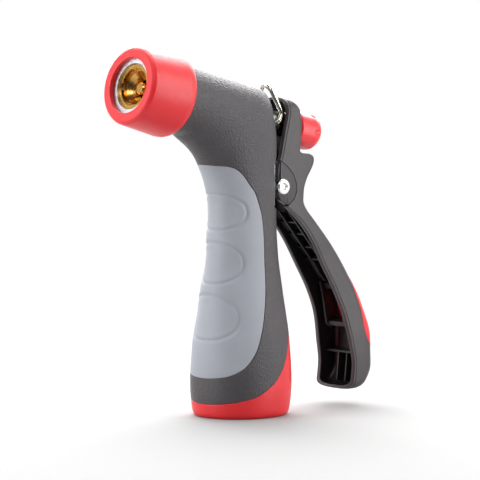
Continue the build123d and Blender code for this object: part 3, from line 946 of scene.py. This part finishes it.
LEVER_CORNER, LEVER_THICK, LEVER_BACK_THICK, RIM_R = 3.3, 2.0, 3.0, 0.42
RIM_GROOVE = ((0.0, 1.0), (0.03, 1.06), (0.2, 1.2), (0.2, 1.32), (0.03, 1.46), (0.0, 1.52))


def lever_table():
    rows = np.array(LEVER_ROWS)
    middle = (rows[:, :2] + rows[:, 2:]) / 2
    step = np.linalg.norm(np.diff(rows[:, :2], axis=0), axis=1) * 0.5
    step += np.linalg.norm(np.diff(rows[:, 2:], axis=0), axis=1) * 0.5
    length = np.r_[0, np.cumsum(step)]
    wide = Smooth([w[0] for w in LEVER_WIDE], [w[1] for w in LEVER_WIDE])(middle[:, 1])
    return length[-1], Smooth(length, np.column_stack([rows, wide]))


LEVER_LENGTH, LEVER_AT = lever_table()


def arch(distance, length, power):
    k = np.clip(1 - distance / length, 0, 1)
    return (1 - k ** power) ** (1 / power)


def lever_half(v, inset, extra=0.0):
    """Half width of the lever's outline moved inward by inset, at lengths v."""
    wide = LEVER_AT(v)[:, 4] - inset - extra
    top = arch(np.maximum(v - inset, 0), TOP_ARCH[0] - min(inset, 6), TOP_ARCH[1])
    low = arch(np.maximum(LEVER_LENGTH - inset - v, 0), FOOT_ARCH[0] - min(inset, 4.5), FOOT_ARCH[1])
    return np.maximum(wide, 0.2) * top * low


def lever_shares():
    """Shares of the lever's length that sit evenly along its outline."""
    v = LEVER_LENGTH * (1 - np.cos(np.linspace(0, math.pi, 3000))) / 2
    outline = np.column_stack([lever_half(v, 0), v])
    run = np.r_[0, np.cumsum(np.linalg.norm(np.diff(outline, axis=0), axis=1))]
    return np.interp(np.linspace(0, run[-1], 230), run, v) / LEVER_LENGTH


SHARES = lever_shares()


def lever_ring(inset, depth, turn=0.0):
    """A closed ring round the tray: outline moved in by inset, depth(v, D) behind the front."""
    v = inset + (LEVER_LENGTH - 2 * inset) * SHARES
    extra = (corner_at(v) - LEVER_CORNER) * turn
    row = LEVER_AT(v)
    span = row[:, 2:4] - row[:, 0:2]
    deep = np.linalg.norm(span, axis=1)
    along = span / deep[:, None]
    yz = row[:, 0:2] + along * depth(v, deep)[:, None]
    half = lever_half(v, inset, extra)
    right = np.column_stack([half, yz])
    left = np.column_stack([-half, yz])
    return np.vstack([right, left[::-1][1:-1]])


def corner_radius(deep, most):
    return np.minimum(most, 0.62 * deep)


def corner_at(v):
    """The lever's back corners: tight at the top, round where the palm sits."""
    middle = LEVER_AT(v)[:, :4].reshape(len(v), 2, 2).mean(1)[:, 1]
    return 2.0 + 2.6 * np.clip((68 - middle) / 32, 0, 1)


def tray_rings():
    """Rings from the middle of the inside, over the rim, to the middle of the back."""
    rings = []
    back = LEVER_BACK_THICK
    inner_r = 1.6

    def inner_floor(deep):
        return np.maximum(deep - back, 0.55 * deep)

    def inner_corner(deep):
        return corner_radius(inner_floor(deep), inner_r)

    for a in QUARTER_TURN:
        rings.append((LEVER_THICK + inner_r * (1 - math.cos(a)),
                      lambda v, d, a=a: inner_floor(d) - inner_corner(d) * (1 - math.sin(a))))
    for k in np.linspace(0.8, 0.0, 5):
        rings.append((LEVER_THICK, lambda v, d, k=k: RIM_R
                      + (inner_floor(d) - inner_corner(d) - RIM_R).clip(0) * k))
    for a in np.radians((22.5, 45, 67.5, 90)):
        rings.append((LEVER_THICK - RIM_R * (1 - math.cos(a)),
                      lambda v, d, a=a: RIM_R * (1 - math.sin(a)) + 0 * v))
    for a in QUARTER_TURN:
        rings.append((RIM_R * (1 - math.cos(a)), lambda v, d, a=a: RIM_R * (1 - math.sin(a)) + 0 * v))
    for inset, deep in RIM_GROOVE:
        rings.append((inset, lambda v, d, deep=deep: np.minimum(deep, 0.3 * d)))
    for k in np.linspace(0.0, 1.0, 7):
        rings.append((0.0, lambda v, d, k=k: np.minimum(1.9, 0.36 * d) * (1 - k)
                      + (d - corner_radius(d, corner_at(v))) * k))
    for a in np.radians((11.25, 22.5, 33.75, 45, 56.25, 67.5, 78.75, 90)):
        rings.append((LEVER_CORNER * (1 - math.cos(a)),
                      lambda v, d, a=a: d - corner_radius(d, corner_at(v)) * (1 - math.sin(a)),
                      1 - math.cos(a)))
    return rings


def cap_rows(ring, first, count, inner, crown):
    """Rows across from side to side that close a ring, bulged by crown."""
    half = len(SHARES)
    size = len(ring)
    verts, faces = [], []
    columns = 9
    table = np.zeros((half, columns), int)
    for i in range(half):
        right = first + i
        left = first + (size - i) % size if 0 < i < half - 1 else first + i
        table[i, 0], table[i, -1] = right, left
        a = ring[i]
        for j in range(1, columns - 1):
            k = j / (columns - 1)
            b = a * (1 - 2 * k, 1, 1)
            bulge = crown * (1 - (1 - 2 * k) ** 2) * min(1.0, a[0] / 4)
            b = b + inner[i] * bulge
            table[i, j] = count + len(verts)
            verts.append(b)
    for i in range(half - 1):
        for j in range(columns - 1):
            face = [table[i, j], table[i, j + 1], table[i + 1, j + 1], table[i + 1, j]]
            face = list(dict.fromkeys(face))
            if len(face) > 2:
                faces.append(face)
    return verts, faces


def lever_directions(inset):
    v = inset + (LEVER_LENGTH - 2 * inset) * SHARES
    row = LEVER_AT(v)
    span = row[:, 2:4] - row[:, 0:2]
    span /= np.linalg.norm(span, axis=1)[:, None]
    return np.column_stack([np.zeros(len(v)), span])


def lever_tray():
    rings = [lever_ring(*ring) for ring in tray_rings()]
    size = len(rings[0])
    verts = np.vstack(rings)
    faces = grid_faces(len(rings), size, False, True)
    count = len(verts)
    inside_verts, inside_faces = cap_rows(rings[0], 0, count, lever_directions(3.6), 0.3)
    count += len(inside_verts)
    last = (len(rings) - 1) * size
    back_verts, back_faces = cap_rows(rings[-1], last, count, lever_directions(LEVER_CORNER), 0.45)
    return np.vstack([verts, inside_verts, back_verts]), faces + inside_faces + back_faces


def plain_object(name, verts, faces):
    mesh = bpy.data.meshes.new(name)
    mesh.from_pydata((np.asarray(verts, float) * MM).tolist(), [], [list(map(int, f)) for f in faces])
    work = bmesh.new()
    work.from_mesh(mesh)
    bmesh.ops.remove_doubles(work, verts=work.verts, dist=2e-6)
    bmesh.ops.recalc_face_normals(work, faces=work.faces)
    work.to_mesh(mesh)
    work.free()
    thing = bpy.data.objects.new(name, mesh)
    bpy.context.scene.collection.objects.link(thing)
    return thing


def prism(outline, x0, x1):
    """A side view in Y, Z drawn out from x0 to x1."""
    n = len(outline)
    verts = [(x0, y, z) for y, z in outline] + [(x1, y, z) for y, z in outline]
    faces = [list(range(n))[::-1], list(range(n, 2 * n))]
    faces += [(i, (i + 1) % n, n + (i + 1) % n, n + i) for i in range(n)]
    return verts, faces


def cut(piece, cutters):
    """Takes each cutter away from a piece, and removes the cutters."""
    for cutter in cutters:
        change = piece.modifiers.new("cut", "BOOLEAN")
        change.operation = "DIFFERENCE"
        change.solver = "EXACT"
        change.object = cutter
    bpy.context.view_layer.update()
    result = bpy.data.meshes.new_from_object(piece.evaluated_get(bpy.context.evaluated_depsgraph_get()))
    piece.modifiers.clear()
    old = piece.data
    piece.data = result
    bpy.data.meshes.remove(old)
    for cutter in cutters:
        bpy.data.objects.remove(cutter)


def outline_moved(points, distance):
    """A closed outline moved inward by a small distance."""
    pts = np.asarray(points, float)
    area = np.sum(pts[:, 0] * np.roll(pts[:, 1], -1) - np.roll(pts[:, 0], -1) * pts[:, 1])
    tangent = np.roll(pts, -1, axis=0) - np.roll(pts, 1, axis=0)
    tangent /= np.linalg.norm(tangent, axis=1)[:, None]
    return pts + np.column_stack([-tangent[:, 1], tangent[:, 0]]) * math.copysign(distance, area)


CHEEK_ARC = ((13.6, 106.3), (18.0, 103.4), (21.5, 99.6), (23.2, 94.9), (22.2, 90.5), (18.4, 87.0))
CHEEK_NOTCH = ((12.35, 93.4), (13.6, 93.4), (13.6, 97.4), (12.35, 97.4))
CHEEK_FACE, CHEEK_INNER = 9.8, 7.8


def cheek_outline():
    arc = even(curve_through(CHEEK_ARC), 0.4)
    front = [(14.0, 89.3), (12.9, 91.3), (12.4, 92.6)] + list(CHEEK_NOTCH) + [(12.4, 102.4), (12.9, 104.4)]
    corners = [tuple(arc[0])] + [tuple(p) for p in arc[1:-1]] + [tuple(arc[-1])] + front
    radii = [0.5] + [0] * (len(arc) - 2) + [0.5, 2, 2, 0.3, 0.3, 0.3, 0.3, 0.3, 2, 1.5]
    return rounded(corners, radii, steps=3)


def cheek_cutter(side):
    """The recess the cheek sits in, open at the lever's front rim."""
    arc = even(curve_through(CHEEK_ARC), 0.4)
    wide = outline_moved(np.vstack([arc, [(9.0, 84.0), (9.0, 108.5)]]), 0.0)
    verts, faces = prism([tuple(p) for p in wide], side * 6.9, side * 12.0)
    return plain_object("cheek_cutter", verts, faces)


def build_cheek(side, name, node):
    outline = cheek_outline()
    rings = []
    for inset, x in ((0.13, CHEEK_INNER - 0.7), (0.13, CHEEK_FACE - 0.34), (0.17, CHEEK_FACE - 0.17),
                     (0.28, CHEEK_FACE - 0.06), (0.46, CHEEK_FACE)):
        loop = outline_moved(outline, inset)
        rings.append(np.column_stack([np.full(len(loop), side * x), loop]))
    n = len(outline)
    faces = grid_faces(len(rings), n, False, True)
    faces.append(list(range(n)))
    faces.append([(len(rings) - 1) * n + i for i in range(n)])
    add_mesh(name, np.vstack(rings), faces, LEVER, "trigger", (node,), sharp=30)


def slot_cutter():
    low, high, half = 116.3, 126.2, 3.1
    outline = rounded([(-half, low), (half, low), (half, high), (-half, high)], half - 0.05, steps=8)
    n = len(outline)
    verts = [(x, 22.0, z) for x, z in outline] + [(x, 30.0, z) for x, z in outline]
    faces = [list(range(n)), list(range(n, 2 * n))]
    faces += [(i, (i + 1) % n, n + (i + 1) % n, n + i) for i in range(n)]
    return plain_object("slot_cutter", verts, faces)


WINDOW = ((56.8, 47.6), (65.6, 50.0), (69.0, 37.2), (58.6, 35.2))


def build_lever():
    verts, faces = lever_tray()
    lever = plain_object("trigger_lever_shell", verts, faces)
    cut(lever, [cheek_cutter(1), cheek_cutter(-1), slot_cutter(),
                plain_object("window_cutter", *prism(WINDOW, -4.7, 4.7))])
    finish_piece(lever, LEVER, "trigger", ("trigger_lever",), sharp=38)
    # faces inside the hollow get the near-black copy of the lever plastic, as painted shade
    lever.data.materials.append(LEVER_INSIDE_PAINTED_SHADE)
    for face in lever.data.polygons:
        x, y, z = np.array(face.center) / MM
        _, depth, deep, half = lever_place(y, z)
        within = abs(x) < half - LEVER_THICK + 0.15 and 0.5 < depth < deep - 1.2
        if within:
            face.material_index = 1
    return lever


def lever_place(y, z):
    """Length along the lever, depth behind its front, and the depth and half width there."""
    i = int(np.argmin(np.abs((LEVER_GRID[:, 2] - LEVER_GRID[:, 0]) * (z - LEVER_GRID[:, 1])
                             - (LEVER_GRID[:, 3] - LEVER_GRID[:, 1]) * (y - LEVER_GRID[:, 0]))
                      + 1e3 * (np.hypot(y - LEVER_GRID[:, 0], z - LEVER_GRID[:, 1]) > 30)))
    row = LEVER_GRID[i]
    span = row[2:4] - row[0:2]
    deep = float(np.linalg.norm(span))
    depth = float(np.dot((y - row[0], z - row[1]), span) / deep)
    return i * LEVER_LENGTH / (len(LEVER_GRID) - 1), depth, deep, row[4]


LEVER_GRID = LEVER_AT(np.linspace(0, LEVER_LENGTH, 1500))


def rib_block(outline, x0, x1):
    """A thin rib with its edges slightly rounded, as points and faces."""
    work = bmesh.new()
    verts, faces = prism(outline, x0, x1)
    made = [work.verts.new(v) for v in verts]
    for face in faces:
        work.faces.new([made[i] for i in face])
    bmesh.ops.recalc_face_normals(work, faces=work.faces)
    bmesh.ops.bevel(work, geom=list(work.edges), offset=0.16, segments=2, affect="EDGES", profile=0.5,
                    clamp_overlap=True)
    work.verts.index_update()
    out = [tuple(v.co) for v in work.verts], [[v.index for v in f.verts] for f in work.faces]
    work.free()
    return out


def slanted(y, z, angle, deep, thick):
    """The side view of a cross rib: a strip at an angle above the horizontal, from its front."""
    a = math.radians(angle)
    run, up = np.array((math.cos(a), math.sin(a))), np.array((-math.sin(a), math.cos(a))) * thick / 2
    p = np.array((y, z))
    return [tuple(p + up), tuple(p - up), tuple(p + run * deep - up), tuple(p + run * deep + up)]


LONG_RIB = ((24.2, 84.0), (42.7, 62.4), (44.1, 61.6), (47.5, 56.5), (51.4, 52.6), (53.4, 53.6),
            (51.2, 57.6), (44.4, 66.4), (36.6, 74.2), (30.2, 81.2), (28.0, 83.4))
FRAME_SIDE = ((50.2, 52.6), (51.9, 46.0), (53.0, 40.0), (54.2, 34.2), (57.2, 32.0), (60.8, 33.0),
              (58.7, 41.0), (55.9, 47.2), (53.0, 52.6))


def build_ribs():
    parts = []
    for side in (-1, 1):
        parts.append(rib_block(LONG_RIB, side * 3.2 - 0.5, side * 3.2 + 0.5))
        parts.append(rib_block(FRAME_SIDE, side * 5.7 - 0.55, side * 5.7 + 0.55))
        foot = [(58.6, 22.0), (57.4, 9.6), (60.0, 9.4), (65.4, 13.0), (65.6, 22.0)]
        parts.append(rib_block(foot, side * 2.6 - 0.4, side * 2.6 + 0.4))
    for y, z, angle, deep, wide in ((29.3, 79.0, 42, 3.4, 7.9), (34.2, 73.8, 40, 4.0, 7.9),
                                    (38.9, 68.0, 36, 4.6, 7.7), (43.0, 62.6, 34, 5.2, 7.5)):
        parts.append(rib_block(slanted(y, z, angle, deep, 0.9), -wide, wide))
    parts.append(rib_block(slanted(55.0, 34.4, 10, 6.5, 2.0), -5.6, 5.6))
    parts.append(rib_block(slanted(52.2, 50.6, 20, 4.2, 2.6), -5.6, 5.6))
    parts.append(rib_block(slanted(57.6, 22.3, 0, 8.0, 0.9), -9.8, 9.8))
    verts, faces, count = [], [], 0
    for v, f in parts:
        verts += v
        faces += [[i + count for i in face] for face in f]
        count += len(v)
    ribs = plain_object("lever_ribs", verts, faces)
    # the ribs in the hollow take the near-black painted-shade copy of the lever plastic
    finish_piece(ribs, LEVER_INSIDE_PAINTED_SHADE, "trigger", sharp=40)


def lever_skin(q):
    """Points of the lever's back and side from (length, distance from the back's middle)."""
    row = LEVER_AT(q[:, 0])
    span = row[:, 2:4] - row[:, 0:2]
    deep = np.linalg.norm(span, axis=1)
    along = span / deep[:, None]
    half = lever_half(q[:, 0], 0)
    e = np.abs(q[:, 1])
    sign = np.where(q[:, 1] < 0, -1.0, 1.0)
    corner = corner_at(q[:, 0])
    flat = half - corner
    a = np.clip((e - flat) / corner, 0, math.pi / 2)
    x = np.where(e < flat, e, flat + corner * np.sin(a))
    crown = 0.45 * np.clip(1 - (e / flat) ** 2, 0, 1)
    depth = deep + crown - corner * (1 - np.cos(a))
    depth -= np.maximum(0, e - flat - corner * math.pi / 2)
    yz = row[:, 0:2] + along * depth[:, None]
    return np.column_stack([x * sign, yz])


def lever_skin_out(p):
    out = p - np.array((0.0, 52.0, 40.0))
    out[:, 0] *= 2.0
    return out


PALM_EDGE = ((57.2, 47.7), (59.6, 40.7), (60.8, 32.9), (62.6, 28.0), (64.9, 25.4))


def palm_line():
    """The palm pad's edge from the middle of the back at its top round to its foot."""
    points = []
    for y, z in PALM_EDGE:
        v, depth, deep, half = lever_place(y, z)
        corner = float(corner_at(np.array([v]))[0])
        flat = half - corner
        if depth <= deep - corner:
            e = flat + corner * math.pi / 2 + deep - corner - depth
        else:
            e = flat + corner * math.acos(1 - max(0.0, deep - depth) / corner)
        points.append((v, e))
    top, low = lever_place(53.2, 58.6)[0], lever_place(67.0, 21.2)[0]
    shoulder_top, shoulder_low = (lever_place(54.6, 56.4)[0], 6.6), (lever_place(67.2, 22.6)[0], 7.0)
    line = [(top, 0.0), (top + 0.25, 3.6), shoulder_top, *points, shoulder_low, (low - 0.2, 3.6), (low, 0.0)]
    first = (line[1][0], -line[1][1])
    last = (line[-2][0], -line[-2][1])
    return even(curve_through(line, ends=(first, last)), 0.35, measure=lever_skin)


def build_palm_pad():
    surface = Surface(lever_skin, lever_skin_out)
    line = palm_line()
    chains = [("edge", line, None), ("seam", seam(0.0, line[-1, 0], line[0, 0]), None)]
    half = patch(surface, chains, 0.8, 0.45, relief=lambda q, verts: np.full(len(q), -0.16), skirt=0.9)
    mirrored_piece("lever_pad_skin", half, RED_RUBBER, "trigger", ("lever_pad",))
    verts, faces = rib_block([(57.9, 48.4), (59.4, 49.2), (63.4, 36.6), (61.9, 35.6)], -4.9, 4.9)
    tongue = plain_object("lever_pad_tongue", verts, faces)
    finish_piece(tongue, RED_RUBBER, "trigger", sharp=40)


build_lever()
build_cheek(1, "pivot_cheek_near", "pivot_cheek_right")
build_cheek(-1, "pivot_cheek_far", "pivot_cheek_left")
build_ribs()
build_palm_pad()


# --- camera, floor and light ----------------------------------------------------------------------

def area_light(name, place, target, size, power, colour=(1, 1, 1)):
    data = bpy.data.lights.new(name, "AREA")
    data.shape = "RECTANGLE"
    data.size, data.size_y = size
    data.energy = power
    data.color = colour
    light = bpy.data.objects.new(name, data)
    bpy.context.scene.collection.objects.link(light)
    light.location = place
    aim(light, target)


def aim(thing, target):

    direction = Vector(target) - Vector(thing.location)
    thing.rotation_euler = direction.to_track_quat("-Z", "Y").to_euler()


def build_world(back):
    """A white backdrop behind the object and dim light from the camera's side."""
    world = bpy.data.worlds.new("white_studio")
    bpy.context.scene.world = world
    world.use_nodes = True
    nodes, links = world.node_tree.nodes, world.node_tree.links
    place = nodes.new("ShaderNodeTexCoord")
    facing = nodes.new("ShaderNodeVectorMath")
    facing.operation = "DOT_PRODUCT"
    facing.inputs[1].default_value = tuple(back)
    links.new(place.outputs["Generated"], facing.inputs[0])
    ramp = nodes.new("ShaderNodeMapRange")
    ramp.interpolation_type = "SMOOTHSTEP"
    ramp.inputs["From Min"].default_value = -0.7
    ramp.inputs["From Max"].default_value = 0.25
    ramp.inputs["To Min"].default_value = 1.3
    ramp.inputs["To Max"].default_value = 0.06
    links.new(facing.outputs["Value"], ramp.inputs["Value"])
    ray = nodes.new("ShaderNodeLightPath")
    choose = nodes.new("ShaderNodeMix")
    choose.inputs["B"].default_value = 1.0
    links.new(ray.outputs["Is Camera Ray"], choose.inputs["Factor"])
    links.new(ramp.outputs["Result"], choose.inputs["A"])
    background = nodes["Background"]
    background.inputs["Color"].default_value = (1, 1, 1, 1)
    links.new(choose.outputs["Result"], background.inputs["Strength"])


def floor_material():
    """A pale floor that fades into the white backdrop away from the object."""
    pale = bpy.data.materials.new("pale_floor")
    pale.use_nodes = True
    nodes, links = pale.node_tree.nodes, pale.node_tree.links
    shader = nodes["Principled BSDF"]
    shader.inputs["Base Color"].default_value = (0.37, 0.37, 0.37, 1)
    shader.inputs["Roughness"].default_value = 0.8
    shader.inputs["Specular IOR Level"].default_value = 0.1
    place = nodes.new("ShaderNodeTexCoord")
    reach = nodes.new("ShaderNodeVectorMath")
    reach.operation = "LENGTH"
    links.new(place.outputs["Object"], reach.inputs[0])
    fade = nodes.new("ShaderNodeMapRange")
    fade.interpolation_type = "SMOOTHSTEP"
    fade.inputs["From Min"].default_value = 0.12
    fade.inputs["From Max"].default_value = 0.55
    fade.inputs["To Min"].default_value = 1.0
    fade.inputs["To Max"].default_value = 0.0
    links.new(reach.outputs["Value"], fade.inputs["Value"])
    links.new(fade.outputs["Result"], shader.inputs["Alpha"])
    return pale


def build_stage():
    azimuth, elevation, distance = math.radians(49), math.radians(4), 1.2
    target = (0, 0, 0.073)
    back = np.array((math.sin(azimuth) * math.cos(elevation), -math.cos(azimuth) * math.cos(elevation),
                     math.sin(elevation)))
    right = np.array((math.cos(azimuth), math.sin(azimuth), 0))
    camera_data = bpy.data.cameras.new("camera")
    camera_data.lens = 216
    camera_data.sensor_width = 36
    camera = bpy.data.objects.new("camera", camera_data)
    bpy.context.scene.collection.objects.link(camera)
    camera.location = np.array(target) + distance * back
    aim(camera, target)
    bpy.context.scene.camera = camera
    floor_mesh = bpy.data.meshes.new("floor")
    verts = [(-1.3, -1.3, 0), (1.3, -1.3, 0), (1.3, 1.3, 0), (-1.3, 1.3, 0)]
    floor_mesh.from_pydata(verts, [], [(0, 1, 2, 3)])
    floor = bpy.data.objects.new("floor", floor_mesh)
    bpy.context.scene.collection.objects.link(floor)
    floor_mesh.materials.append(floor_material())
    build_world(back)
    centre = np.array((0, 0, 0.08))
    left = centre - right * 0.85 + back * 0.3 + (0, 0, 0.2)
    other = centre + right * 0.85 + back * 0.25 + (0, 0, 0.15)
    above = centre - back * 0.4 + (0, 0, 0.8)
    front = centre + back * 0.9 + (0, 0, 0.75)
    rear = centre - back * 0.95 + (0, 0, 0.6)
    area_light("softbox_left", left, centre, (0.5, 1.1), 10.5)
    area_light("softbox_right", other, centre, (0.5, 1.1), 10.0)
    area_light("softbox_top", above, centre, (1.0, 1.0), 14.0)
    area_light("softbox_front", front, centre, (0.6, 0.4), 3.0)
    area_light("softbox_rear", rear, centre, (1.4, 0.7), 17.0)
    bpy.context.scene.view_settings.view_transform = "Standard"


build_stage()
